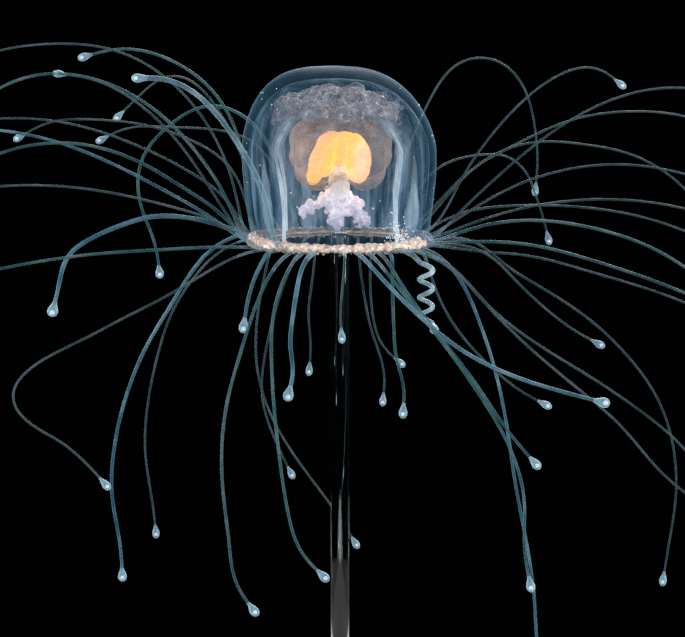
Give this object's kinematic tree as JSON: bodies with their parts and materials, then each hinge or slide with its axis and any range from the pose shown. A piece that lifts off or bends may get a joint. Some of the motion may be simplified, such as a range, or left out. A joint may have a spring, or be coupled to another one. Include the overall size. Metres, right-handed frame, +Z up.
{
  "type": "jellyfish",
  "caption": "Life-size still model of a small bell-shaped jellyfish with fine spread tentacles, held on a rod over a round flat stand.",
  "frame": {"origin": "middle of the underside of the stand's round base", "axes": "+Z up through the bell's crown, +X to the right seen from the front, +Y to the back"},
  "size_m": [0.0495, 0.0341, 0.044],
  "materials": {
    "jelly": "clear blue jelly, wet and smooth",
    "velum": "thin clear membrane",
    "bulbs": "peach and cream flesh, wet",
    "gut_cells": "lavender grey foam of cells",
    "stomach_wall": "grey brown translucent flesh",
    "eggs": "yellow orange, grainy",
    "lips": "white lilac, frilled",
    "tentacle_flesh": "teal, translucent, with pale knobs",
    "black_acrylic": "polished black acrylic",
    "clear_acrylic": "polished clear acrylic"
  },
  "bodies": {
    "root": {"bell": "jelly", "velum": "velum", "rim_ring": "bulbs", "gut_stalk": "gut_cells", "stomach": "stomach_wall", "gonads": "eggs", "manubrium": "lips", "stand_base": "black_acrylic", "stand_rod": "clear_acrylic", "tentacle_01": "tentacle_flesh", "tentacle_02": "tentacle_flesh", "tentacle_03": "tentacle_flesh", "tentacle_04": "tentacle_flesh", "tentacle_05": "tentacle_flesh", "tentacle_06": "tentacle_flesh", "tentacle_07": "tentacle_flesh", "tentacle_08": "tentacle_flesh", "tentacle_09": "tentacle_flesh", "tentacle_10": "tentacle_flesh", "tentacle_11": "tentacle_flesh", "tentacle_12": "tentacle_flesh", "tentacle_13": "tentacle_flesh", "tentacle_14": "tentacle_flesh", "tentacle_15": "tentacle_flesh", "tentacle_16": "tentacle_flesh", "tentacle_17": "tentacle_flesh", "tentacle_18": "tentacle_flesh", "tentacle_19": "tentacle_flesh", "tentacle_20": "tentacle_flesh", "tentacle_21": "tentacle_flesh", "tentacle_22": "tentacle_flesh", "tentacle_23": "tentacle_flesh", "tentacle_24": "tentacle_flesh", "tentacle_25": "tentacle_flesh", "tentacle_26": "tentacle_flesh", "tentacle_27": "tentacle_flesh", "tentacle_28": "tentacle_flesh", "tentacle_29": "tentacle_flesh", "tentacle_30": "tentacle_flesh", "tentacle_31": "tentacle_flesh", "tentacle_32": "tentacle_flesh", "tentacle_33": "tentacle_flesh", "tentacle_34": "tentacle_flesh", "tentacle_35": "tentacle_flesh", "tentacle_36": "tentacle_flesh", "tentacle_37": "tentacle_flesh", "tentacle_38": "tentacle_flesh", "tentacle_39": "tentacle_flesh", "tentacle_40": "tentacle_flesh", "tentacle_41": "tentacle_flesh", "tentacle_42": "tentacle_flesh", "tentacle_43": "tentacle_flesh", "tentacle_44": "tentacle_flesh", "tentacle_45": "tentacle_flesh", "tentacle_46": "tentacle_flesh", "tentacle_47": "tentacle_flesh", "tentacle_48": "tentacle_flesh", "tentacle_49": "tentacle_flesh", "tentacle_50": "tentacle_flesh", "tentacle_51": "tentacle_flesh"}
  },
  "joints": []
}
